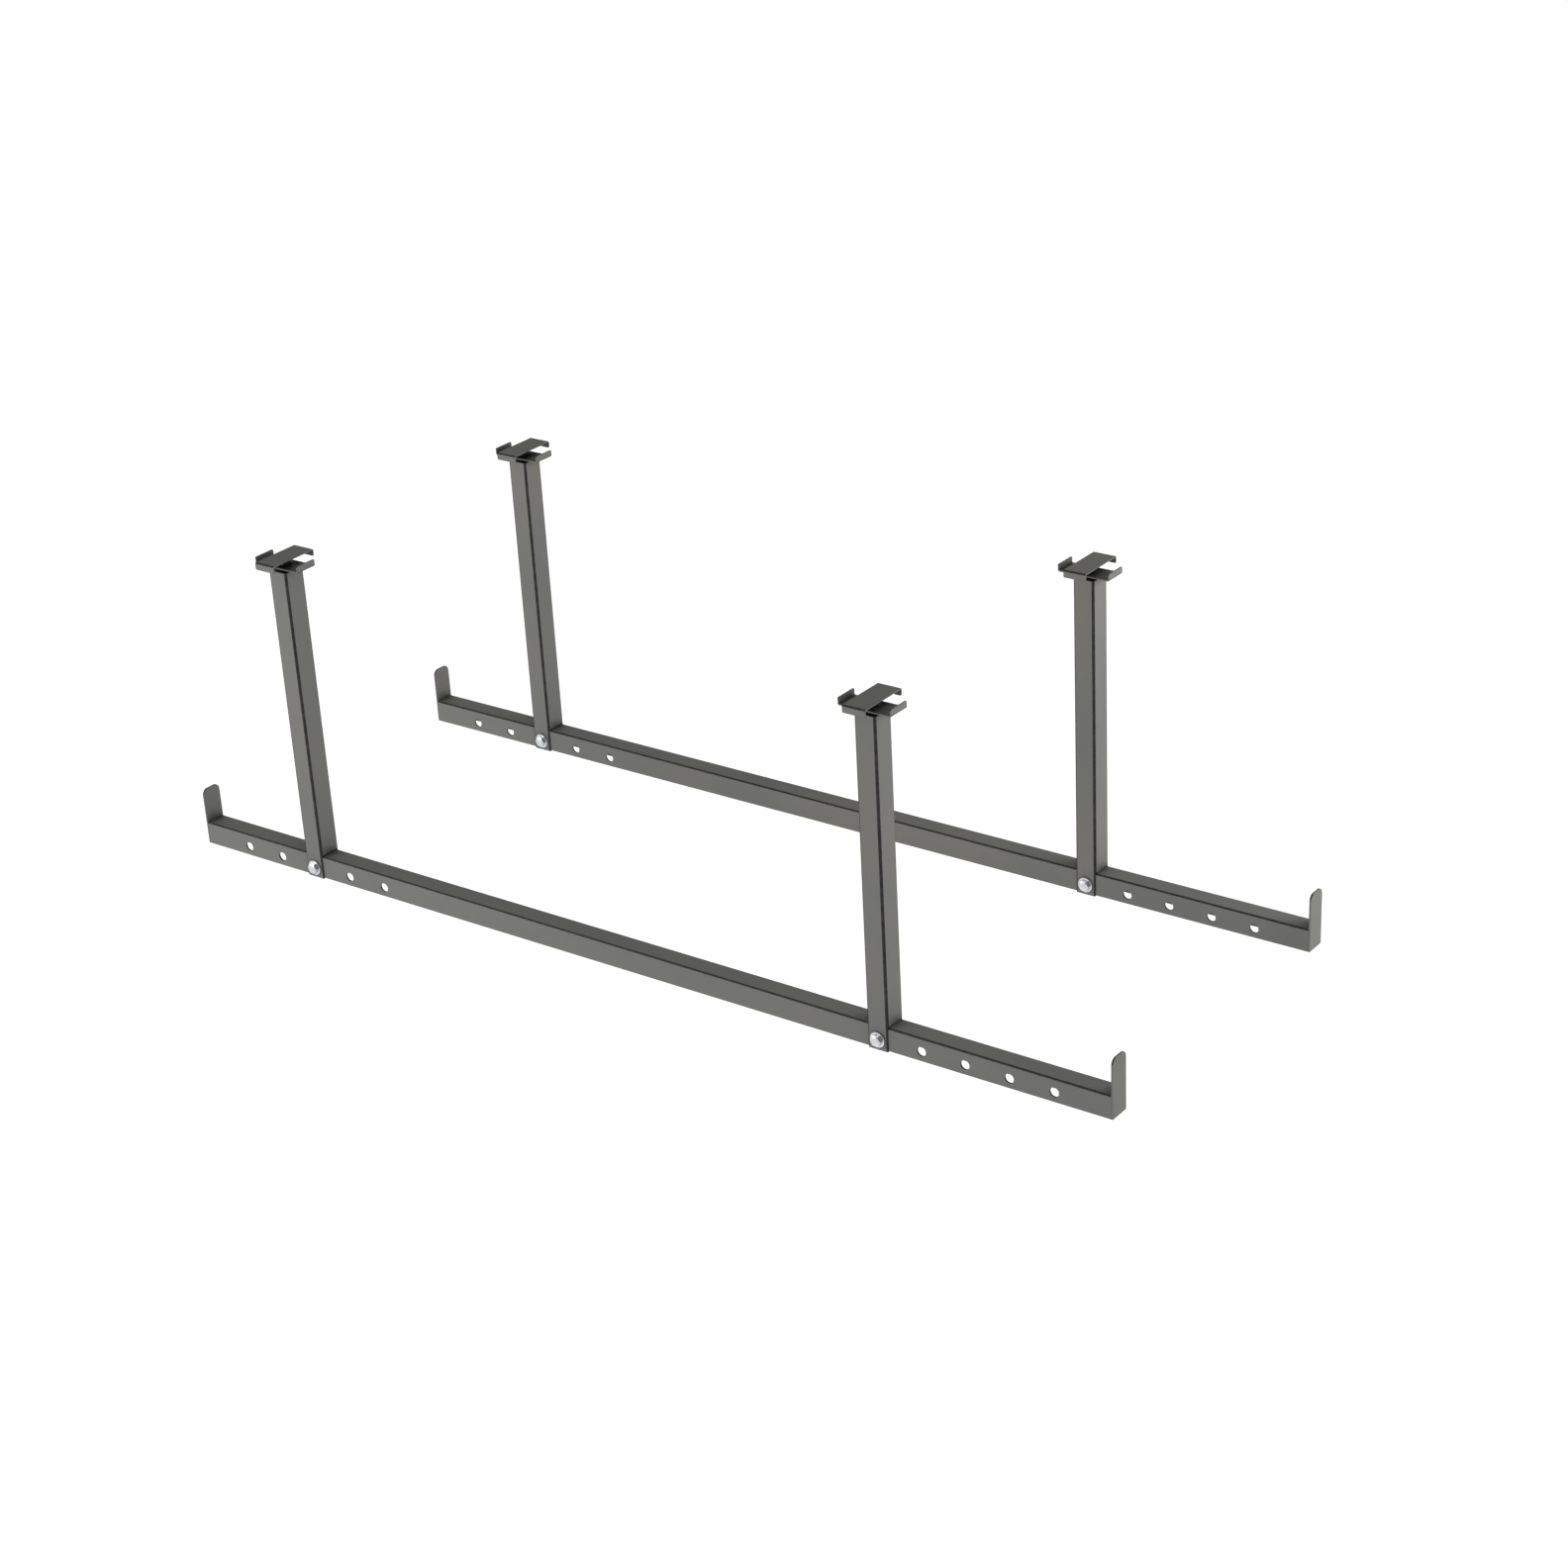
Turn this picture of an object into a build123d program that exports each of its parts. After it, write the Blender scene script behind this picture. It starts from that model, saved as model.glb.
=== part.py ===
from build123d import *
from math import cos, radians, tan
import os

# A pair of hanging bars for the wire deck of an overhead storage rack.
# Each unit is a channel-section bar carried by two posts. A hook clamp on top of each post grips the
# deck wires, and one bolt per post goes through a row of holes in the bar.
# Millimetres. X runs along the bars, Y from the front unit to the back unit, Z up.
# The origin is midway along the bars and midway between the units, in the plane where the upper hooks
# bear on the deck wires. Everything else hangs below it.

# ---- driving dimensions ----
overall_length = 1219.2        # over both end stops
unit_spacing = 402.0           # front bar to back bar, as hung
hang_depth = 380.4             # deck wires down to the bars' lower edges

bar_depth = 25.0
bar_height = 26.5
bar_wall = 2.0
bar_bend = 3.0                 # outside radius of the two top bends
hole_pitch = 52.0
holes_per_end = 5
end_hole_inset = 66.5          # end stop's outer face to the first hole
hole_below_top = 15.5          # bar top to the hole line
left_post_hole = 2             # counted from the left end of the left group
right_post_hole = 0            # counted from the left end of the right group

stop_thickness = 2.0
stop_height = 67.0
stop_corner = 7.5

post_width = 25.4              # along X
post_wall = 1.5
post_corner = 3.0              # outside radius
tab_drop = 1.0                 # tabs reach this far below the bar
side_gap = 0.8                 # post side walls stop this far above the bar

cap_thickness = 4.0
cap_corner_relief = 0.6        # the cap's corner radius exceeds the tube's inner one by this
collar_height = 3.5
collar_diameter = 17.0

hook_length = 62.6
hook_width = 27.0
hook_sheet = 1.5
hook_height = 8.2              # over the lips
hook_bend = 2.0                # outside radius
lip_corner = 1.5
wire_gap = 7.9                 # between the two hooks' inner faces when shut

clamp_screw_diameter = 8.0
clamp_head_flats = 13.0
clamp_head_height = 5.3
clamp_tip_gap = 0.6            # screw tip to the upper hook
hook_nut_flats = 14.0

bolt_diameter = 6.35
bolt_head_height = 4.1
bolt_past_nut = 1.4            # thread showing beyond the nut
bar_hole_clearance = 4.15      # on the diameter, as the next two are
tab_hole_clearance = 0.65
washer_bore_clearance = 0.75
washer_diameter = 17.5
washer_thickness = 1.6
nut_hex_height = 5.6
nut_collar_height = 2.3
nut_collar_wall = 0.55
insert_thickness = 1.6
insert_wall = 0.9

running_clearance = 0.05       # radial, between a thread's crest and the hole it turns in
flats_per_diameter = 1.75      # bar bolt's head and nut, across flats
hex_face_share = 0.9           # flat round face of a hex head, as a share of its flats
hex_chamfer = 30.0             # degrees
thread_chamfer = 0.8

# ---- places worked out from them ----
bar_bottom = -hang_depth
bar_top = bar_bottom + bar_height
hole_level = bar_top - hole_below_top
post_depth = bar_depth + 2 * post_wall       # the tabs bear on the bar's two faces
bar_hole = bolt_diameter + bar_hole_clearance
tab_hole = bolt_diameter + tab_hole_clearance
washer_bore = bolt_diameter + washer_bore_clearance
bolt_flats = flats_per_diameter * bolt_diameter
nut_height = nut_hex_height + nut_collar_height
bolt_length = post_depth + 2 * washer_thickness + nut_height + bolt_past_nut
lower_hook_floor = -wire_gap - hook_sheet
post_top = lower_hook_floor - collar_height
first_hole = overall_length / 2 - end_hole_inset
left_holes = [-first_hole + i * hole_pitch for i in range(holes_per_end)]
right_holes = [first_hole - (holes_per_end - 1 - i) * hole_pitch for i in range(holes_per_end)]
unit_places = {"front": -unit_spacing / 2, "back": unit_spacing / 2}
post_places = {"left": left_holes[left_post_hole], "right": right_holes[right_post_hole]}


def hexagon_prism(flats, height):
    """Hexagon standing on Z = 0 with its upper corners turned off at the usual angle."""
    corner = flats / 2 / cos(radians(30))
    face = flats / 2 * hex_face_share
    fall = (corner - face) * tan(radians(hex_chamfer))
    outline = Polyline((0, 0), (corner, 0), (corner, height - fall), (face, height), (0, height), close=True)
    turned = revolve(Plane.XZ * make_face(outline), Axis.Z)
    return extrude(RegularPolygon(flats / 2, 6, major_radius=False), height) & turned


def ring(outer_diameter, bore_diameter, height):
    """Flat ring standing on Z = 0."""
    return extrude(Circle(outer_diameter / 2) - Circle(bore_diameter / 2), height)


def cross_bore(diameter, depth):
    """Round cutter along Y, centred on the origin."""
    return Rot(90, 0, 0) * Cylinder(diameter / 2, depth)


def channel_bar():
    """Channel open downwards, with a row of holes through both flanges at each end."""
    length = overall_length - 2 * stop_thickness
    outer = Rectangle(bar_depth, bar_height, align=(Align.CENTER, Align.MIN))
    outer = fillet(outer.vertices().group_by(Axis.Y)[-1], bar_bend)
    inner = Rectangle(bar_depth - 2 * bar_wall, bar_height - bar_wall, align=(Align.CENTER, Align.MIN))
    inner = fillet(inner.vertices().group_by(Axis.Y)[-1], bar_bend - bar_wall)
    bar = Pos(-length / 2, 0, bar_bottom) * extrude(Plane.YZ * (outer - inner), length)
    for x in left_holes + right_holes:
        bar -= Pos(x, 0, hole_level) * cross_bore(bar_hole, 2 * bar_depth)
    return bar


def end_stop(side):
    """Upright plate welded across one end of the bar; side is -1 at the left end and 1 at the right."""
    plate = Rectangle(bar_depth, stop_height, align=(Align.CENTER, Align.MIN))
    plate = fillet(plate.vertices().group_by(Axis.Y)[-1], stop_corner)
    inner_face = side * (overall_length / 2 - stop_thickness)
    return Pos(inner_face, 0, bar_bottom) * extrude(Plane.YZ * plate, side * stop_thickness)


def post_tube():
    """Rectangular tube whose front and back walls run on below as two tabs astride the bar."""
    bottom = bar_bottom - tab_drop
    outer = RectangleRounded(post_width, post_depth, post_corner)
    inner = RectangleRounded(post_width - 2 * post_wall, post_depth - 2 * post_wall, post_corner - post_wall)
    tube = Pos(0, 0, bottom) * extrude(outer - inner, post_top - bottom)
    notch_height = bar_top + side_gap - bottom
    notch = Box(2 * post_width, bar_depth, notch_height, align=(Align.CENTER, Align.CENTER, Align.MIN))
    tube -= Pos(0, 0, bottom) * notch
    return tube - Pos(0, 0, hole_level) * cross_bore(tab_hole, 2 * post_depth)


def post_cap():
    """Thick plate welded inside the post's top end; the clamp screw turns in it."""
    wide = post_width - 2 * post_wall
    deep = post_depth - 2 * post_wall
    plate = RectangleRounded(wide, deep, post_corner - post_wall + cap_corner_relief)
    plate -= Circle(clamp_screw_diameter / 2 + running_clearance)
    return Pos(0, 0, post_top - cap_thickness) * extrude(plate, cap_thickness)


def collar():
    """Round spacer that holds the lower hook clear of the post."""
    bore = clamp_screw_diameter + 2 * running_clearance
    return Pos(0, 0, post_top) * ring(collar_diameter, bore, collar_height)


def hook_plate():
    """Folded strip along X with a lip turned up at each end, its underside on Z = 0."""
    outer = Rectangle(hook_length, hook_height, align=(Align.CENTER, Align.MIN))
    outer = fillet(outer.vertices().group_by(Axis.Y)[0], hook_bend)
    inner = Rectangle(hook_length - 2 * hook_sheet, hook_height - hook_sheet, align=(Align.CENTER, Align.MIN))
    inner = Pos(0, hook_sheet) * fillet(inner.vertices().group_by(Axis.Y)[0], hook_bend - hook_sheet)
    strip = Pos(0, hook_width / 2, 0) * extrude(Plane.XZ * (outer - inner), hook_width)
    lip_ends = strip.edges().filter_by(Axis.X).group_by(Axis.Z)[-1]
    return fillet(lip_ends, lip_corner)


def lower_hook():
    """Hook under the deck: lips up, along the bar, bored for the clamp screw."""
    bore = Cylinder(clamp_screw_diameter / 2 + running_clearance, 4 * hook_sheet)
    return Pos(0, 0, lower_hook_floor) * (hook_plate() - bore)


def upper_hook():
    """Hook over the deck: the same strip turned over and across the bar."""
    return Pos(0, 0, hook_sheet) * Rot(0, 0, 90) * Rot(180, 0, 0) * hook_plate()


def hook_nut():
    """Tall nut welded under the upper hook; it stands on the lower hook when the clamp is shut."""
    bore = Cylinder(clamp_screw_diameter / 2 + running_clearance, 4 * wire_gap)
    return Pos(0, 0, -wire_gap) * (hexagon_prism(hook_nut_flats, wire_gap) - bore)


def clamp_screw():
    """Screw whose head is inside the post; it pulls the upper hook down."""
    head_face = post_top - cap_thickness
    shank_length = -clamp_tip_gap - head_face
    shank = chamfer(Cylinder(clamp_screw_diameter / 2, shank_length,
                             align=(Align.CENTER, Align.CENTER, Align.MIN)).edges().group_by(Axis.Z)[-1],
                    thread_chamfer)
    head = Rot(180, 0, 0) * hexagon_prism(clamp_head_flats, clamp_head_height)
    return Pos(0, 0, head_face) * (shank + head)


def across_bar(piece):
    """Turns a fastener built along Z so that its Z points out of the front tab at the hole line."""
    return Pos(0, 0, hole_level) * Rot(90, 0, 0) * piece


def bar_bolt():
    """Hex bolt through both tabs and the bar, its head at the front."""
    head_face = post_depth / 2 + washer_thickness
    shank = chamfer(Cylinder(bolt_diameter / 2, bolt_length,
                             align=(Align.CENTER, Align.CENTER, Align.MAX)).edges().group_by(Axis.Z)[0],
                    thread_chamfer)
    return across_bar(Pos(0, 0, head_face) * (shank + hexagon_prism(bolt_flats, bolt_head_height)))


def front_washer():
    """Washer between the bolt's head and the front tab."""
    return across_bar(Pos(0, 0, post_depth / 2) * ring(washer_diameter, washer_bore, washer_thickness))


def back_washer():
    """Washer between the nut and the back tab."""
    place = Pos(0, 0, -post_depth / 2 - washer_thickness)
    return across_bar(place * ring(washer_diameter, washer_bore, washer_thickness))


def behind_back_washer(piece):
    """Places a piece of the nut, built along Z from its bearing face, against the back washer."""
    return across_bar(Pos(0, 0, -post_depth / 2 - washer_thickness) * Rot(180, 0, 0) * piece)


def lock_nut():
    """Lock nut: a hexagon with a round collar round its nylon insert."""
    thread = bolt_diameter / 2 + running_clearance
    pocket = thread + insert_wall
    upright = (Align.CENTER, Align.CENTER, Align.MIN)
    body = hexagon_prism(bolt_flats, nut_hex_height)
    body += Pos(0, 0, nut_hex_height) * Cylinder(pocket + nut_collar_wall, nut_collar_height, align=upright)
    body -= Cylinder(thread, 4 * nut_height)
    body -= Pos(0, 0, nut_height - insert_thickness) * Cylinder(pocket, insert_thickness, align=upright)
    return behind_back_washer(body)


def nut_insert():
    """Nylon ring held in the lock nut's collar."""
    bore = bolt_diameter + 2 * running_clearance
    insert = ring(bore + 2 * insert_wall, bore, insert_thickness)
    return behind_back_washer(Pos(0, 0, nut_height - insert_thickness) * insert)


unit_pieces = {
    "bar": channel_bar(),
    "left_end_stop": end_stop(-1),
    "right_end_stop": end_stop(1),
}
post_pieces = {
    "post": post_tube(),
    "post_cap": post_cap(),
    "collar": collar(),
    "lower_hook": lower_hook(),
    "upper_hook": upper_hook(),
    "hook_nut": hook_nut(),
    "clamp_screw": clamp_screw(),
    "bar_bolt": bar_bolt(),
    "front_washer": front_washer(),
    "back_washer": back_washer(),
    "lock_nut": lock_nut(),
    "nut_insert": nut_insert(),
}

os.makedirs("parts", exist_ok=True)
for unit, y in unit_places.items():
    for name, piece in unit_pieces.items():
        export_step(Pos(0, y, 0) * piece, f"parts/{unit}_{name}.step")
    for side, x in post_places.items():
        for name, piece in post_pieces.items():
            export_step(Pos(x, y, 0) * piece, f"parts/{unit}_{side}_{name}.step")
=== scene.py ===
from math import cos, pi, radians, sin, tan

import bmesh
import bpy
from mathutils import Matrix, Quaternion, Vector


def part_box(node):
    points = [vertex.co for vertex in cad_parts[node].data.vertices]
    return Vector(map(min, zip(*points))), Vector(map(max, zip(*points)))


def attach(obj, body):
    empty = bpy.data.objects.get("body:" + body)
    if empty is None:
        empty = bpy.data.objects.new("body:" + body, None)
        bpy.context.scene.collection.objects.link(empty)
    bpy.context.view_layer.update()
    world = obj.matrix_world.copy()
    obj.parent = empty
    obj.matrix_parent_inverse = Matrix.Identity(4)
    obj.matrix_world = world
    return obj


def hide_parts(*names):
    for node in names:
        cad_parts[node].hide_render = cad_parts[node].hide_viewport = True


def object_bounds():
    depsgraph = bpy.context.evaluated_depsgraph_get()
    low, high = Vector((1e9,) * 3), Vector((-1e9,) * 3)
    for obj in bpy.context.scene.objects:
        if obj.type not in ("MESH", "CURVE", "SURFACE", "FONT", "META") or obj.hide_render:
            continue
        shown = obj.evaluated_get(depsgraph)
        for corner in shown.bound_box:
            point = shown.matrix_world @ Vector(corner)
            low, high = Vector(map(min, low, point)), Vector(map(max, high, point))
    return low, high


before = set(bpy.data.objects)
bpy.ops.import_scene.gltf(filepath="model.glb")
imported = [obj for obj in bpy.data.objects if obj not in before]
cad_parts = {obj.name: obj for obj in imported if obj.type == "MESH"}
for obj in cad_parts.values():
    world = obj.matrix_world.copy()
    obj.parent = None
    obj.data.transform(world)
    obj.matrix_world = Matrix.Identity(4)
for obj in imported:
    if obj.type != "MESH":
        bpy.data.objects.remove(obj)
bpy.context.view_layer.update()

# ---- Hanging bars ----
# Each bar is steel sheet folded into a channel that is open underneath, then powder coated dark grey.
# Five bolt holes near each end are punched through both flanges, so the posts can be set further apart.
units = ("front", "back")
sides = ("left", "right")
bar_wall = 0.002
bar_bend = 0.003
bar_hole = 0.0105
hole_pitch = 0.052
holes_per_end = 5
left_post_hole = 2
right_post_hole = 0
bar_edge = 0.00015
drill_along_y = (pi / 2, 0, 0)
through_bar = 0.04


def block(name, low, high):
    """A cube primitive drawn out to the given corners."""
    low, high = Vector(low), Vector(high)
    bpy.ops.object.select_all(action="DESELECT")
    bpy.ops.mesh.primitive_cube_add(size=1, location=(low + high) / 2)
    piece = bpy.context.object
    piece.name = name
    piece.scale = high - low
    bpy.ops.object.transform_apply(location=True, rotation=True, scale=True)
    return piece


def choose(piece, kind, test):
    """Goes into edit mode with just the verts, edges or faces that pass the test selected."""
    bpy.ops.object.select_all(action="DESELECT")
    piece.select_set(True)
    bpy.context.view_layer.objects.active = piece
    bpy.ops.object.mode_set(mode="EDIT")
    bpy.ops.mesh.select_mode(type={"verts": "VERT", "edges": "EDGE", "faces": "FACE"}[kind])
    bpy.ops.mesh.select_all(action="DESELECT")
    shape = bmesh.from_edit_mesh(piece.data)
    for part in getattr(shape, kind):
        if test(part):
            part.select_set(True)
    bmesh.update_edit_mesh(piece.data)


def done():
    """Leaves edit mode."""
    bpy.ops.object.mode_set(mode="OBJECT")


def apply_modifier(piece, kind, **settings):
    """Adds a modifier with these settings and applies it at once."""
    bpy.ops.object.select_all(action="DESELECT")
    piece.select_set(True)
    bpy.context.view_layer.objects.active = piece
    modifier = piece.modifiers.new(kind.title(), kind)
    for key, value in settings.items():
        setattr(modifier, key, value)
    bpy.ops.object.modifier_apply(modifier=modifier.name)


def folded_sheet(name, low, high, open_sides, wall, bend):
    """Sheet folded round a block: open sides come off, folds are bent round, the wall grows inwards."""
    piece = block(name, low, high)
    choose(piece, "faces", lambda face: any(face.normal.dot(Vector(side)) > 0.9 for side in open_sides))
    bpy.ops.mesh.delete(type="FACE")
    done()
    choose(piece, "edges", lambda edge: len(edge.link_faces) == 2)
    bpy.ops.mesh.bevel(offset=bend, segments=6, profile=0.5)
    done()
    apply_modifier(piece, "SOLIDIFY", thickness=wall, offset=-1, use_even_offset=True)
    return piece


def cut(piece, tool, operation="DIFFERENCE"):
    """Cuts a piece with a closed tool and throws the tool away."""
    apply_modifier(piece, "BOOLEAN", operation=operation, solver="EXACT", object=tool)
    bpy.data.objects.remove(tool, do_unlink=True)


def drill(piece, centres, diameter, depth, rotation=(0, 0, 0)):
    """Bores straight round holes at the given centres, along Z unless the drill is turned."""
    bits = []
    for centre in centres:
        bpy.ops.object.select_all(action="DESELECT")
        bpy.ops.mesh.primitive_cylinder_add(vertices=48, radius=diameter / 2, depth=depth, location=centre,
                                            rotation=rotation)
        bpy.ops.object.transform_apply(location=True, rotation=True, scale=True)
        bits.append(bpy.context.object)
    for bit in bits:
        bit.select_set(True)
    if len(bits) > 1:
        bpy.ops.object.join()
    cut(piece, bpy.context.object)


def soften(piece, edge):
    """Takes the sharpness off every hard edge, as deburring and a coat of paint do."""
    apply_modifier(piece, "BEVEL", width=edge, segments=2, limit_method="ANGLE",
                   angle_limit=radians(35), use_clamp_overlap=True)
    choose(piece, "verts", lambda vert: True)
    bpy.ops.mesh.remove_doubles(threshold=3e-6)
    bpy.ops.mesh.dissolve_degenerate(threshold=1e-6)
    done()
    bpy.ops.object.shade_smooth_by_angle(angle=radians(40))
    apply_modifier(piece, "WEIGHTED_NORMAL", keep_sharp=True)


def copy_shifted(piece, name, shift):
    """A copy with its own mesh, moved within that mesh."""
    twin = piece.copy()
    twin.data = piece.data.copy()
    twin.name = name
    twin.data.transform(Matrix.Translation(shift))
    bpy.context.scene.collection.objects.link(twin)
    return twin


def middle(node):
    """Centre of a CAD node's box."""
    low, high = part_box(node)
    return (low + high) / 2


class Nodes:
    """Short way of wiring a material's nodes together."""

    def __init__(self, name):
        self.material = bpy.data.materials.new(name)
        self.material.use_nodes = True
        self.tree = self.material.node_tree
        self.shader = self.tree.nodes["Principled BSDF"]

    def add(self, kind, inputs=(), **settings):
        node = self.tree.nodes.new(kind)
        for key, value in settings.items():
            setattr(node, key, value)
        for key, value in dict(inputs).items():
            self.feed(node.inputs[key], value)
        return node

    def feed(self, socket, value):
        if isinstance(value, bpy.types.NodeSocket):
            self.tree.links.new(value, socket)
        else:
            socket.default_value = value

    def noise(self, where, scale, detail=2.0, roughness=0.5):
        texture = self.add("ShaderNodeTexNoise", {"Vector": where, "Scale": scale, "Detail": detail,
                                                  "Roughness": roughness})
        return texture.outputs["Fac"]

    def span(self, value, low, high, to_low=0.0, to_high=1.0):
        node = self.add("ShaderNodeMapRange", {"Value": value, "From Min": low, "From Max": high,
                                               "To Min": to_low, "To Max": to_high})
        return node.outputs["Result"]

    def mix(self, share, first, second):
        node = self.add("ShaderNodeMix", data_type="RGBA")
        self.feed(node.inputs["Factor"], share)
        self.feed(node.inputs[6], first)
        self.feed(node.inputs[7], second)
        return node.outputs[2]

    def maths(self, operation, first, second):
        node = self.add("ShaderNodeMath", operation=operation)
        self.feed(node.inputs[0], first)
        self.feed(node.inputs[1], second)
        return node.outputs["Value"]

    def bump(self, height, strength, distance, below=None):
        node = self.add("ShaderNodeBump", {"Height": height, "Strength": strength, "Distance": distance})
        if below is not None:
            self.feed(node.inputs["Normal"], below)
        return node.outputs["Normal"]


def powder_coat(name, tone, painted_bend_shade, flat, crest):
    """Satin powder coat: fine orange peel, a faint drift of tone, a painted shade line on bends, and painted
    shade in corners.

    The line starts where a bend turns away from the flat and is full where it nears its crest.
    """
    coat = Nodes(name)
    where = coat.add("ShaderNodeTexCoord").outputs["Object"]
    drift = coat.span(coat.noise(where, scale=7.0, detail=3.0), 0.35, 0.65)
    warm = (tone[0] * 1.06, tone[1] * 1.05, tone[2] * 0.98, 1)
    cool = (tone[0] * 0.93, tone[1] * 0.94, tone[2] * 0.97, 1)
    colour = coat.mix(drift, cool, warm)
    specks = coat.noise(where, scale=1500.0, detail=3.0, roughness=0.6)
    grain = coat.span(specks, 0.3, 0.7, to_low=0.0, to_high=0.22)
    colour = coat.mix(grain, colour, (tone[0] * 0.62, tone[1] * 0.62, tone[2] * 0.60, 1))
    # Painted shade: a near-black line on bends, set by how far the surface turns away from the world axes.
    facing = coat.add("ShaderNodeVectorMath", operation="ABSOLUTE")
    coat.feed(facing.inputs[0], coat.add("ShaderNodeNewGeometry").outputs["Normal"])
    ways = coat.add("ShaderNodeSeparateXYZ", {"Vector": facing.outputs["Vector"]}).outputs
    flatness = coat.maths("MAXIMUM", coat.maths("MAXIMUM", ways["X"], ways["Y"]), ways["Z"])
    bend_shade_share = coat.span(flatness, crest, flat, to_low=1.0, to_high=0.0)
    waver = coat.noise(where, scale=160.0, detail=4.0, roughness=0.6)
    patchy = coat.span(waver, 0.25, 0.6, to_low=0.80, to_high=1.0)
    colour = coat.mix(coat.maths("MULTIPLY", bend_shade_share, patchy), colour, (*painted_bend_shade, 1))
    # Painted shade: ambient occlusion darkens corners, gaps and undersides towards black.
    painted_corner_shade = coat.add("ShaderNodeAmbientOcclusion", {"Distance": 0.014}, samples=8)
    shade = coat.span(painted_corner_shade.outputs["AO"], 0.25, 0.95, to_low=0.12, to_high=1.0)
    colour = coat.mix(shade, (0, 0, 0, 1), colour)
    coat.feed(coat.shader.inputs["Base Color"], colour)
    peel = coat.noise(where, scale=620.0, detail=2.0, roughness=0.45)
    pores = coat.noise(where, scale=2300.0, detail=2.0, roughness=0.5)
    waves = coat.bump(peel, strength=0.35, distance=0.00012)
    coat.feed(coat.shader.inputs["Normal"], coat.bump(pores, strength=0.22, distance=0.00004, below=waves))
    coat.feed(coat.shader.inputs["Roughness"], coat.span(peel, 0.3, 0.7, to_low=0.42, to_high=0.56))
    coat.shader.inputs["Specular IOR Level"].default_value = 0.3
    return coat.material


coat_tone = (0.135, 0.134, 0.127)
# Near-black tone of the painted shade line on bends.
painted_bend_shade = (0.004, 0.004, 0.004)
bar_paint = powder_coat("Dark grey powder coat on the bars", coat_tone, painted_bend_shade, 0.97, 0.86)
# Near-black coat for the hole walls: painted shade inside the holes.
hole_shade_tone = (0.012, 0.012, 0.011)
hole_shade_paint = powder_coat("Painted shade in the holes", hole_shade_tone, hole_shade_tone, 0.97, 0.86)


def paint(piece, material):
    """Gives a piece one material all over."""
    piece.data.materials.clear()
    piece.data.materials.append(material)


def paint_shade_in_holes(piece, material, centres, radius):
    """Gives the walls of holes bored along Y a material of their own, a near-black one that is painted
    shade.
    """
    piece.data.materials.append(material)
    for face in piece.data.polygons:
        spot = face.center
        if abs(face.normal.y) < 0.8 and any((spot.x - x) ** 2 + (spot.z - z) ** 2 < radius ** 2
                                            for x, y, z in centres):
            face.material_index = 1


low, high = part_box("front_bar")
bar = folded_sheet("front_bar_channel", low, high, ((0, 0, -1), (1, 0, 0), (-1, 0, 0)), bar_wall, bar_bend)
left_bolt, right_bolt = (middle(f"front_{side}_bar_bolt") for side in sides)
bar_middle = (low.y + high.y) / 2
hole_centres = []
for i in range(holes_per_end):
    hole_centres.append((left_bolt.x + (i - left_post_hole) * hole_pitch, bar_middle, left_bolt.z))
    hole_centres.append((right_bolt.x + (i - right_post_hole) * hole_pitch, bar_middle, right_bolt.z))
drill(bar, hole_centres, bar_hole, through_bar, drill_along_y)
soften(bar, bar_edge)
paint(bar, bar_paint)
# The hole walls take the near-black material as painted shade.
paint_shade_in_holes(bar, hole_shade_paint, hole_centres, bar_hole / 2 + bar_edge)
back_bar = copy_shifted(bar, "back_bar_channel", middle("back_bar") - middle("front_bar"))
for unit, piece in zip(units, (bar, back_bar)):
    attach(piece, f"{unit}_unit")
    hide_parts(f"{unit}_bar")

# ---- End stops ----
# Upright plates sheared from the same sheet, their two top corners cut round. Each is welded across an
# end of its bar, so that hangers can't slide off, and the seam is dressed flush outside and left inside.
stop_corner = 0.0075
stop_edge = 0.0001
frame_paint = powder_coat("Dark grey powder coat", coat_tone, painted_bend_shade, 0.999, 0.965)


def four_times(piece, node, suffix, body):
    """Copies a front left piece to the other three places, and says what each one rides on and replaces."""
    home = f"front_left_{node}"
    places = {f"{unit}_{side}_{node}": body.format(unit=unit, side=side) for unit in units for side in sides}
    twins = {place: copy_shifted(piece, place + suffix, middle(place) - middle(home))
             for place in places if place != home}
    twins[home] = piece
    for place, twin in twins.items():
        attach(twin, places[place])
        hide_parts(place)


low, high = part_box("front_left_end_stop")
stop = block("front_left_end_stop_plate", low, high)
choose(stop, "edges", lambda edge: all(vert.co.z > high.z - 1e-5 for vert in edge.verts)
       and abs(edge.verts[0].co.x - edge.verts[1].co.x) > 1e-4)
bpy.ops.mesh.bevel(offset=stop_corner, segments=10, profile=0.5)
done()
soften(stop, stop_edge)
paint(stop, frame_paint)
four_times(stop, "end_stop", "_plate", "{unit}_unit")

# ---- Posts ----
# Rectangular steel tube, powder coated with the bars. The side walls stop just above the bar and the
# front and back walls run on as two tabs that straddle it, with a bolt hole through both.
post_wall = 0.0015
post_corner = 0.003
tab_hole = 0.0070
side_gap = 0.0008
post_edge = 0.00025
notch_past_post = 0.01
through_post = 0.06

low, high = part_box("front_left_post")
bar_low, bar_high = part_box("front_bar")
post = folded_sheet("front_left_post_tube", low, high, ((0, 0, 1), (0, 0, -1)), post_wall, post_corner)
notch_low = (low.x - notch_past_post, bar_low.y, low.z - notch_past_post)
notch_high = (high.x + notch_past_post, bar_high.y, bar_high.z + side_gap)
cut(post, block("notch", notch_low, notch_high))
drill(post, [left_bolt], tab_hole, through_post, drill_along_y)
soften(post, post_edge)
paint(post, frame_paint)
four_times(post, "post", "_tube", "{unit}_unit")

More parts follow.
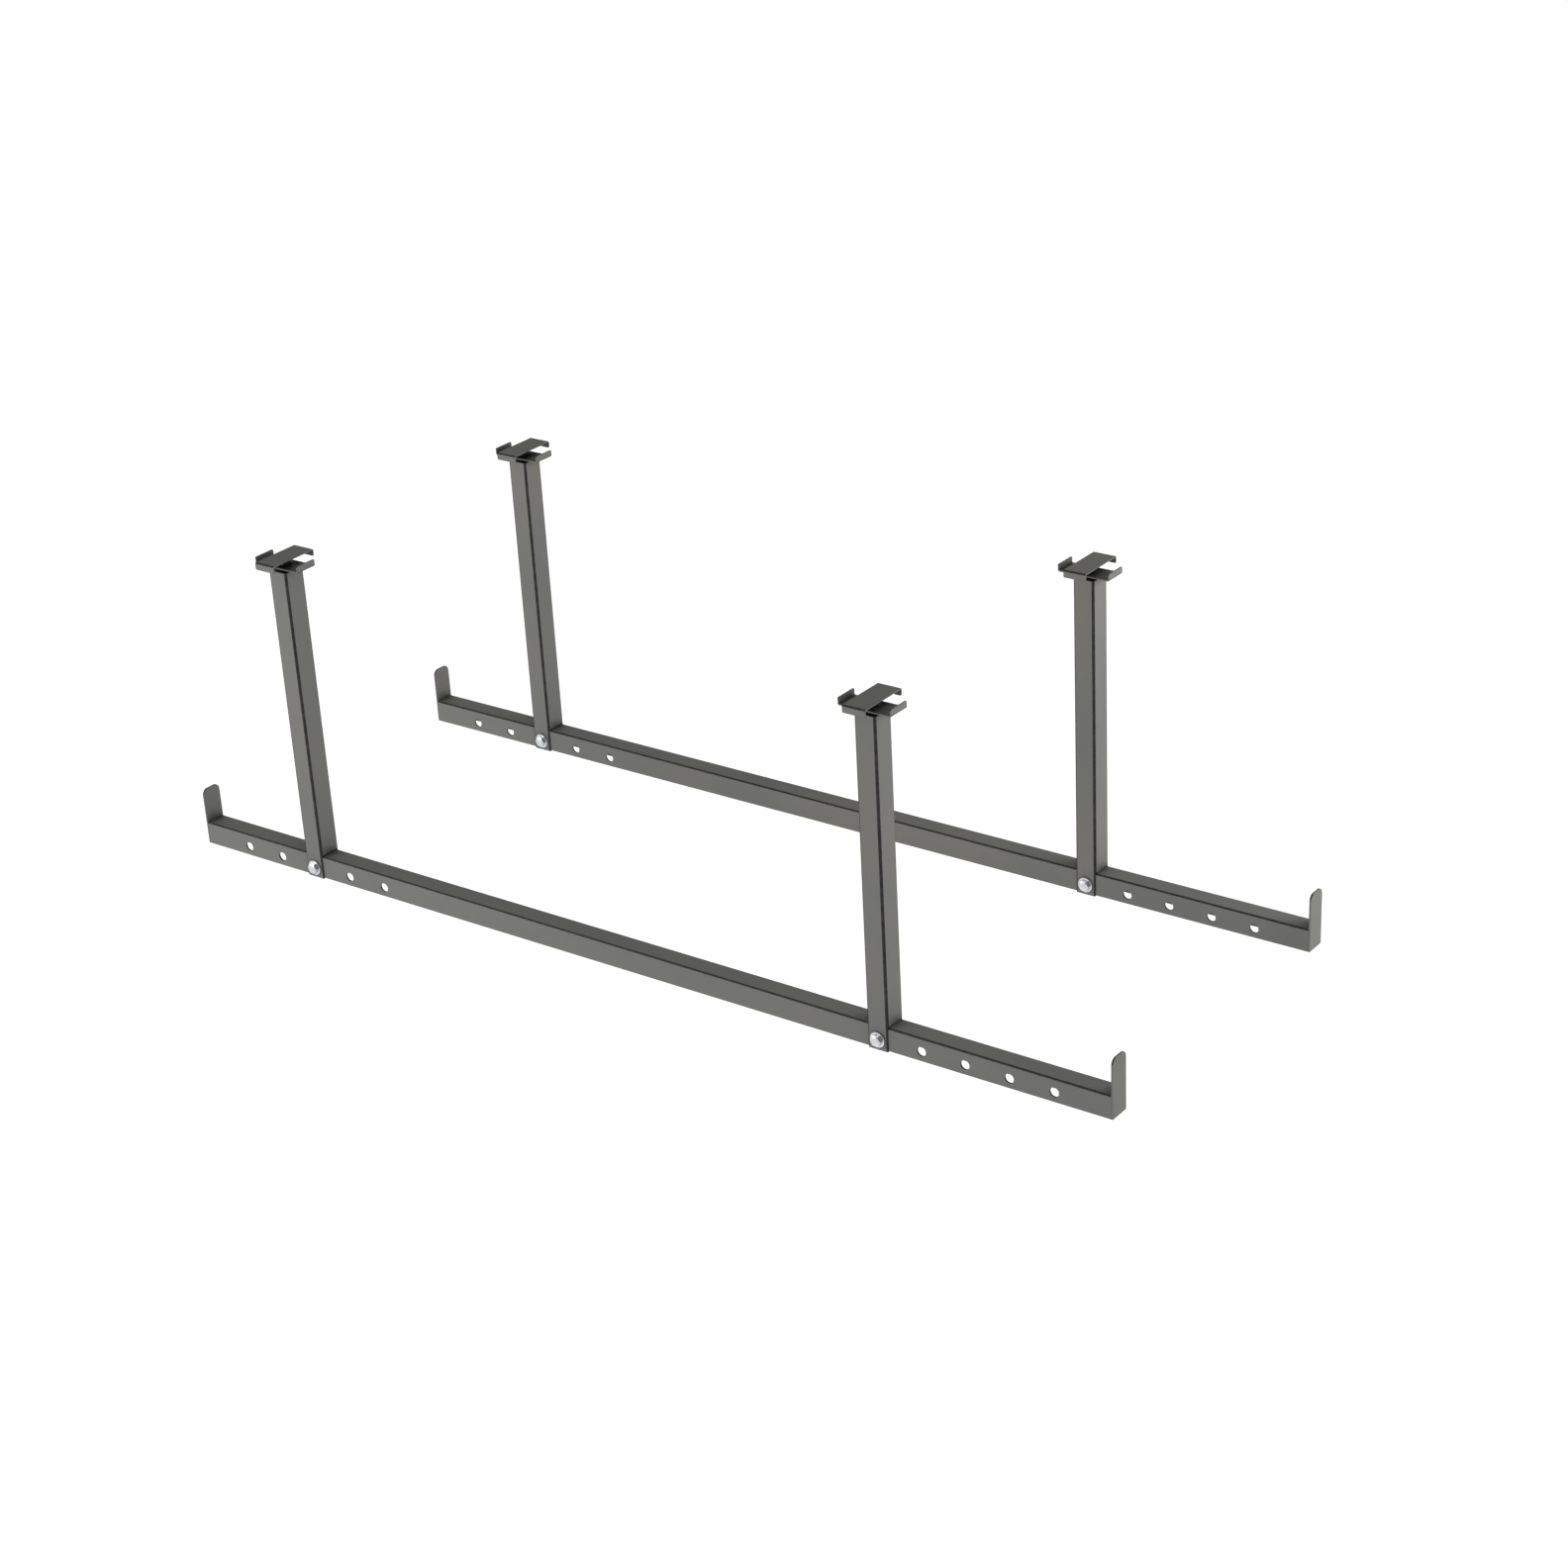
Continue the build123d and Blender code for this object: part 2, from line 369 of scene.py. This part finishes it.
# ---- Post caps ----
# Thick steel plate let into the top of each post and welded flush, bored for the clamp screw, whose head
# is shut inside the post below it.
cap_corner = 0.0021
screw_bore = 0.0081
cap_edge = 0.0002
through_plate = 0.02


def shade_turned(piece):
    """Smooth shading for turned and pressed pieces, with their real corners kept."""
    bpy.ops.object.select_all(action="DESELECT")
    piece.select_set(True)
    bpy.context.view_layer.objects.active = piece
    bpy.ops.object.shade_smooth_by_angle(angle=radians(40))


low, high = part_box("front_left_post_cap")
cap = block("front_left_post_cap_plate", low, high)
choose(cap, "edges", lambda edge: abs(edge.verts[0].co.z - edge.verts[1].co.z) > 1e-4)
bpy.ops.mesh.bevel(offset=cap_corner, segments=5, profile=0.5)
done()
drill(cap, [middle("front_left_post_cap")], screw_bore, through_plate)
soften(cap, cap_edge)
paint(cap, frame_paint)
four_times(cap, "post_cap", "_plate", "{unit}_unit")

# ---- Collars ----
# A short turned steel spacer, welded to the cap and to the hook above. It holds the lower hook clear of
# the post's top.
collar_edge = 0.0003
# The turned pieces' coat is painted far darker than the frame's, as painted shade between the hooks.
shaded_collar_tone = (0.040, 0.039, 0.036)
shaded_collar_paint = powder_coat("Coat with painted shade on the clamp's turned pieces", shaded_collar_tone, painted_bend_shade, 0.60, 0.50)


def profile(name, start, moves):
    """One point drawn out into a line, leg by leg, as the outline of a turned piece."""
    bpy.ops.object.select_all(action="DESELECT")
    bpy.ops.mesh.primitive_plane_add(size=0.001, location=start)
    line = bpy.context.object
    line.name = name
    bpy.ops.object.transform_apply(location=True, rotation=True, scale=True)
    bpy.ops.object.mode_set(mode="EDIT")
    bpy.ops.mesh.select_mode(type="VERT")
    bpy.ops.mesh.select_all(action="SELECT")
    bpy.ops.mesh.merge(type="CENTER")
    for move in moves:
        bpy.ops.mesh.extrude_region_move(TRANSFORM_OT_translate={"value": move})
    bpy.ops.object.mode_set(mode="OBJECT")
    return line


def turn(piece, centre, steps=48):
    """Spins an outline drawn in the XZ plane round a vertical axis, as on a lathe, and closes the seam."""
    choose(piece, "edges", lambda edge: True)
    bpy.ops.mesh.spin(steps=steps, angle=2 * pi, center=centre, axis=(0, 0, 1))
    bpy.ops.mesh.select_all(action="SELECT")
    bpy.ops.mesh.remove_doubles(threshold=1e-6)
    bpy.ops.mesh.normals_make_consistent(inside=False)
    done()


def turned_ring(name, centre, bottom, height, outer, bore, edge):
    """Ring of outer and bore radius turned about a vertical axis, its four corners broken."""
    across = outer - bore - 2 * edge
    up = height - 2 * edge
    ring = profile(name, (centre.x + bore + edge, centre.y, bottom), (
        (across, 0, 0), (edge, 0, edge), (0, 0, up), (-edge, 0, edge),
        (-across, 0, 0), (-edge, 0, -edge), (0, 0, -up), (edge, 0, -edge)))
    turn(ring, centre)
    return ring


low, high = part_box("front_left_collar")
collar = turned_ring("front_left_collar_ring", middle("front_left_collar"), low.z, high.z - low.z,
                     (high.x - low.x) / 2, screw_bore / 2, collar_edge)
shade_turned(collar)
paint(collar, shaded_collar_paint)
four_times(collar, "collar", "_ring", "{unit}_unit")

# ---- Lower hooks ----
# A strip of sheet steel folded up at both ends and laid along the bar. It is welded on the collar, and its
# lips come up outside the deck wires that run across the bar.
hook_sheet = 0.0015
hook_bend = 0.002
lip_corner = 0.0015
hook_edge = 0.0002
through_sheet = 0.01


def round_lips(piece, top, across):
    """Cuts the lips' free corners round. Their ends are at level top, and across is the width's axis."""
    choose(piece, "edges", lambda edge: all(abs(vert.co.z - top) < 1e-5 for vert in edge.verts)
           and abs(edge.verts[0].co[across] - edge.verts[1].co[across]) < 1e-6
           and edge.calc_length() < 2 * hook_sheet)
    bpy.ops.mesh.bevel(offset=lip_corner, segments=5, profile=0.5)
    done()


low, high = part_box("front_left_lower_hook")
lower_hook = folded_sheet("front_left_lower_hook_strip", low, high, ((0, 0, 1), (0, 1, 0), (0, -1, 0)),
                          hook_sheet, hook_bend)
round_lips(lower_hook, high.z, 1)
centre = middle("front_left_lower_hook")
drill(lower_hook, [(centre.x, centre.y, low.z)], screw_bore, through_sheet)
soften(lower_hook, hook_edge)
paint(lower_hook, frame_paint)
four_times(lower_hook, "lower_hook", "_strip", "{unit}_unit")

# ---- Upper hooks ----
# The same strip turned over and set across the bar, over the deck. Its lips come down outside the wires
# that run along the bar, and the clamp screw below draws it down on them.
low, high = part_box("front_left_upper_hook")
upper_hook = folded_sheet("front_left_upper_hook_strip", low, high, ((0, 0, -1), (1, 0, 0), (-1, 0, 0)),
                          hook_sheet, hook_bend)
round_lips(upper_hook, low.z, 0)
soften(upper_hook, hook_edge)
paint(upper_hook, frame_paint)
four_times(upper_hook, "upper_hook", "_strip", "{unit}_{side}_hook")

# ---- Hook nuts ----
# A tall hexagon nut for the clamp screw, welded under the upper hook and coated with it. Shut, it stands
# on the lower hook and stops the screw from crushing the deck wires.
hook_nut_edge = 0.00015
hex_face_share = 0.9


def hexagon(name, centre, bottom, height, flats, both_ends=False):
    """Hexagon bar faced on a lathe: its corners are turned off at 30 degrees at the top, or at both ends."""
    corner = flats / 2 / cos(radians(30))
    face = flats / 2 * hex_face_share
    fall = (corner - face) * tan(radians(30))
    foot = fall if both_ends else 0
    underside = ((face, 0, 0), (corner - face, 0, fall)) if both_ends else ((corner, 0, 0),)
    blank = profile("blank", (centre.x, centre.y, bottom), (
        *underside, (0, 0, height - fall - foot), (face - corner, 0, fall), (-face, 0, 0)))
    turn(blank, centre, 72)
    bpy.ops.object.select_all(action="DESELECT")
    bpy.ops.mesh.primitive_cylinder_add(vertices=6, radius=corner, depth=height,
                                        location=(centre.x, centre.y, bottom + height / 2),
                                        rotation=(0, 0, pi / 6))
    bar_end = bpy.context.object
    bar_end.name = name
    bpy.ops.object.transform_apply(location=True, rotation=True, scale=True)
    cut(bar_end, blank, "INTERSECT")
    return bar_end


low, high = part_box("front_left_hook_nut")
hook_nut = hexagon("front_left_hook_nut_body", middle("front_left_hook_nut"), low.z, high.z - low.z,
                   high.y - low.y, both_ends=True)
drill(hook_nut, [middle("front_left_hook_nut")], screw_bore, through_plate)
soften(hook_nut, hook_nut_edge)
# The nut takes the turned pieces' darker coat, which is painted shade.
paint(hook_nut, shaded_collar_paint)
four_times(hook_nut, "hook_nut", "_body", "{unit}_{side}_hook")

# ---- Clamp screws ----
# Zinc plated hexagon screw with a rolled thread. Its head is inside the post under the cap; the thread
# goes up through the cap, the collar and the lower hook into the hook nut.
clamp_thread = 0.008
clamp_pitch = 0.00125
clamp_flats = 0.013
clamp_head = 0.0053
clamp_tip = 0.0006
head_overlap = 0.0004
bright_tone = (0.62, 0.63, 0.64)
origin = Vector((0, 0, 0))


def zinc(name, tone):
    """Bright zinc plating: metal with faint clouding, a fine grain, and duller patches."""
    plate = Nodes(name)
    where = plate.add("ShaderNodeTexCoord").outputs["Object"]
    cloud = plate.span(plate.noise(where, scale=260.0, detail=3.0, roughness=0.55), 0.35, 0.65)
    shade = (tone[0] * 0.84, tone[1] * 0.85, tone[2] * 0.88, 1)
    plate.feed(plate.shader.inputs["Base Color"], plate.mix(cloud, shade, (*tone, 1)))
    grain = plate.noise(where, scale=2600.0, detail=2.0, roughness=0.5)
    plate.feed(plate.shader.inputs["Roughness"], plate.span(cloud, 0.0, 1.0, to_low=0.36, to_high=0.27))
    plate.feed(plate.shader.inputs["Normal"], plate.bump(grain, strength=0.12, distance=0.00003))
    plate.shader.inputs["Metallic"].default_value = 1.0
    return plate.material


bright_zinc = zinc("Bright zinc plate", bright_tone)


def threaded_rod(name, low_end, high_end, diameter, pitch, tip):
    """Rod with a rolled thread round the Z axis between two levels, its lower end chamfered by tip.

    The outline of one turn is screwed up the axis past both levels, and then the rod is cut to length.
    """
    crest = diameter / 2
    depth = 0.6 * pitch
    land = pitch / 8
    flank = (pitch - 2 * land) / 2
    rod = profile(name, (crest - depth, 0, low_end - pitch),
                  ((0, 0, land), (depth, 0, flank), (0, 0, land), (-depth, 0, flank)))
    turns = int((high_end - low_end) / pitch) + 3
    apply_modifier(rod, "SCREW", angle=2 * pi, screw_offset=pitch, iterations=turns, steps=28,
                   render_steps=28, axis="Z", use_merge_vertices=True, merge_threshold=1e-6)
    choose(rod, "edges", lambda edge: True)
    bpy.ops.mesh.remove_doubles(threshold=1e-6)
    for level, clear_above in ((low_end, False), (high_end, True)):
        bpy.ops.mesh.select_all(action="SELECT")
        bpy.ops.mesh.bisect(plane_co=(0, 0, level), plane_no=(0, 0, 1), use_fill=True, threshold=1e-7,
                            clear_inner=not clear_above, clear_outer=clear_above)
    bpy.ops.mesh.select_all(action="SELECT")
    bpy.ops.mesh.normals_make_consistent(inside=False)
    done()
    past = 1e-4        # the blank stands this far outside the thread
    blank = profile("blank", (0, 0, low_end), (
        (crest - tip, 0, 0),
        (tip + past, 0, tip + past),
        (0, 0, high_end - low_end - tip),
        (-crest - past, 0, 0)))
    turn(blank, origin)
    cut(rod, blank, "INTERSECT")
    return rod


def join_into_one(piece, other):
    """Joins two closed shapes that run into each other into one."""
    cut(piece, other, "UNION")


low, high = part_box("front_left_clamp_screw")
centre = middle("front_left_clamp_screw")
clamp_screw = hexagon("front_left_clamp_screw_body", origin, 0, clamp_head, clamp_flats)
thread = threaded_rod("thread", low.z + clamp_head - high.z, head_overlap, clamp_thread, clamp_pitch,
                      clamp_tip)
join_into_one(clamp_screw, thread)
place = Matrix.Translation((centre.x, centre.y, low.z + clamp_head))
clamp_screw.data.transform(place @ Matrix.Rotation(pi, 4, "X"))
shade_turned(clamp_screw)
paint(clamp_screw, bright_zinc)
four_times(clamp_screw, "clamp_screw", "_body", "{unit}_{side}_screw")

# ---- Bar bolts ----
# Zinc plated hexagon bolt through both tabs and the bar, head at the front. It has a washer face under the
# head, a plain grip, and a rolled thread at the nut's end.
bolt_thread = 0.00635
bolt_pitch = 0.00127
bolt_head = 0.0041
bolt_grip = 0.0215
bolt_tip = 0.0008
grip_overlap = 0.0002
washer_face = 0.0003
washer_face_share = 0.96
face_overlap = 1e-4


def lay_down(piece, centre, bearing):
    """Turns a piece built along Z, with its bearing face on Z = 0, to point forward from a bearing level."""
    turn_forward = Matrix.Rotation(pi / 2, 4, "X")
    piece.data.transform(Matrix.Translation((centre.x, bearing, centre.z)) @ turn_forward)


low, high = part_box("front_left_bar_bolt")
centre = middle("front_left_bar_bolt")
flats = high.z - low.z
bolt = hexagon("front_left_bar_bolt_body", origin, washer_face, bolt_head - washer_face, flats)
face_radius = flats / 2 * washer_face_share
face = profile("washer face", origin, (
    (face_radius, 0, 0), (0, 0, washer_face + face_overlap), (-face_radius, 0, 0)))
turn(face, origin)
join_into_one(bolt, face)
bolt_length = (high.y - low.y) - bolt_head
grip = profile("grip", (0, 0, -bolt_grip), (
    (bolt_thread / 2, 0, 0), (0, 0, bolt_grip + face_overlap), (-bolt_thread / 2, 0, 0)))
turn(grip, origin)
join_into_one(bolt, grip)
thread = threaded_rod("thread", -bolt_length, -bolt_grip + grip_overlap, bolt_thread, bolt_pitch, bolt_tip)
join_into_one(bolt, thread)
lay_down(bolt, centre, low.y + bolt_head)
shade_turned(bolt)
paint(bolt, bright_zinc)
four_times(bolt, "bar_bolt", "_body", "{unit}_unit")

# ---- Washers ----
# Zinc plated flat washers punched from strip, one under the bolt's head and one under the nut. Punching
# leaves the edge slightly rounded.
washer_bore = 0.0071
washer_edge = 0.0003

for node, body in (("front_washer", "{unit}_unit"), ("back_washer", "{unit}_{side}_washer")):
    low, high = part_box(f"front_left_{node}")
    washer = turned_ring(f"front_left_{node}_ring", origin, 0, high.y - low.y, (high.x - low.x) / 2,
                         washer_bore / 2, washer_edge)
    lay_down(washer, middle(f"front_left_{node}"), high.y)
    shade_turned(washer)
    paint(washer, bright_zinc)
    four_times(washer, node, "_ring", body)

# ---- Lock nuts and their inserts ----
# Zinc plated hexagon lock nut with a round collar spun over a nylon ring, which grips the bolt's thread
# and keeps the nut from working loose.
nut_hex = 0.0056
nut_collar_wall = 0.0005
insert_height = 0.0016
insert_wall = 0.0009
insert_edge = 0.0002
running_clearance = 0.00005
nut_thread = bolt_thread / 2 + running_clearance
crown_root = 0.001
crown_fall = 0.0005
through_nut = 0.06
nylon_tone = (0.72, 0.74, 0.72)
nylon_pale_tone = (0.80, 0.81, 0.78)

low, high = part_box("front_left_lock_nut")
centre = middle("front_left_lock_nut")
nut_height = high.y - low.y
pocket = nut_thread + insert_wall
crown_radius = pocket + nut_collar_wall
nut = hexagon("front_left_lock_nut_body", origin, 0, nut_hex, flats)
crown = profile("crown", (0, 0, nut_hex - crown_root), (
    (crown_radius, 0, 0),
    (0, 0, nut_height - nut_hex + crown_root - crown_fall),
    (-0.4 * crown_fall, 0, 0.8 * crown_fall),
    (-0.6 * crown_fall, 0, 0.2 * crown_fall),
    (crown_fall - crown_radius, 0, 0)))
turn(crown, origin)
join_into_one(nut, crown)
drill(nut, [origin], 2 * nut_thread, through_nut)
seat = profile("seat", (0, 0, nut_height - insert_height), (
    (pocket, 0, 0), (0, 0, insert_height + crown_root), (-pocket, 0, 0)))
turn(seat, origin)
cut(nut, seat)
nut.data.transform(Matrix.Rotation(pi, 4, "X"))
lay_down(nut, centre, low.y)
shade_turned(nut)
paint(nut, bright_zinc)
four_times(nut, "lock_nut", "_body", "{unit}_{side}_nut")

nylon = Nodes("Nylon insert")
where = nylon.add("ShaderNodeTexCoord").outputs["Object"]
cloud = nylon.span(nylon.noise(where, scale=500.0, detail=3.0), 0.35, 0.65)
nylon.feed(nylon.shader.inputs["Base Color"], nylon.mix(cloud, (*nylon_tone, 1), (*nylon_pale_tone, 1)))
nylon.shader.inputs["Roughness"].default_value = 0.45
nylon.shader.inputs["Subsurface Weight"].default_value = 0.15
nylon.shader.inputs["Subsurface Scale"].default_value = 0.001
low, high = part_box("front_left_nut_insert")
insert = turned_ring("front_left_nut_insert_ring", origin, 0, high.y - low.y, (high.x - low.x) / 2,
                     nut_thread, insert_edge)
lay_down(insert, middle("front_left_nut_insert"), high.y)
shade_turned(insert)
paint(insert, nylon.material)
four_times(insert, "nut_insert", "_ring", "{unit}_{side}_nut")

# ---- Floor, lights and camera ----
# A plain pale floor well below the hanging bars, in a white room with soft even light and two soft boxes.
# The camera stands in front of the bars, to their right and above them.
floor_drop = 2.5
floor_tone = 0.92
floor_glow = 0.68
room_light = 0.42
low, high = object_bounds()
bpy.ops.object.select_all(action="DESELECT")
bpy.ops.mesh.primitive_plane_add(size=60, location=(0, 0, low.z - floor_drop))
floor = bpy.context.object
floor.name = "floor"
bpy.ops.object.transform_apply(location=True, rotation=True, scale=True)
pale = Nodes("Pale floor")
pale.shader.inputs["Base Color"].default_value = (floor_tone, floor_tone, floor_tone, 1)
pale.shader.inputs["Roughness"].default_value = 0.9
pale.shader.inputs["Emission Color"].default_value = (1, 1, 1, 1)
pale.shader.inputs["Emission Strength"].default_value = floor_glow
paint(floor, pale.material)

world = bpy.data.worlds.new("Soft studio")
world.use_nodes = True
studio = world.node_tree
air = studio.nodes["Background"]
air.inputs["Color"].default_value = (1, 1, 1, 1)
air.inputs["Strength"].default_value = room_light
backdrop = studio.nodes.new("ShaderNodeBackground")
backdrop.inputs["Color"].default_value = (1, 1, 1, 1)
backdrop.inputs["Strength"].default_value = 1.0
either = studio.nodes.new("ShaderNodeMixShader")
studio.links.new(studio.nodes.new("ShaderNodeLightPath").outputs["Is Camera Ray"], either.inputs["Fac"])
studio.links.new(air.outputs["Background"], either.inputs[1])
studio.links.new(backdrop.outputs["Background"], either.inputs[2])
studio.links.new(either.outputs["Shader"], studio.nodes["World Output"].inputs["Surface"])
bpy.context.scene.world = world
bpy.context.scene.view_settings.view_transform = "Standard"


def soft_box(name, place, aim, size, power):
    """Square area light turned towards a point."""
    bpy.ops.object.light_add(type="AREA", location=place)
    lamp = bpy.context.object
    lamp.name = name
    lamp.data.shape = "SQUARE"
    lamp.data.size = size
    lamp.data.energy = power
    lamp.visible_camera = False
    lamp.rotation_euler = (Vector(aim) - Vector(place)).to_track_quat("-Z", "Y").to_euler()


soft_box("front left soft box", (-2.0, -2.6, 0.35), (0, 0, -0.2), 1.6, 60)
soft_box("right soft box", (1.25, 0.75, 0.2), (0.2, 0.1, -0.2), 0.7, 13)

camera_azimuth = 36.41
camera_elevation = 27.57
camera_roll = -2.74
camera_distance = 3.5467
camera_aim = (0.1496, -0.0214, -0.3930)
around = radians(camera_azimuth)
above = radians(camera_elevation)
back = Vector((cos(above) * sin(around), -cos(above) * cos(around), sin(above)))
bpy.ops.object.camera_add(location=Vector(camera_aim) + back * camera_distance)
camera = bpy.context.object
camera.rotation_mode = "QUATERNION"
level = (-back).to_track_quat("-Z", "Y")
camera.rotation_quaternion = level @ Quaternion((0, 0, 1), radians(camera_roll))
camera.data.lens = 75.14
camera.data.sensor_width = 36
camera.data.shift_x = -0.035
camera.data.shift_y = 0.10
bpy.context.scene.camera = camera
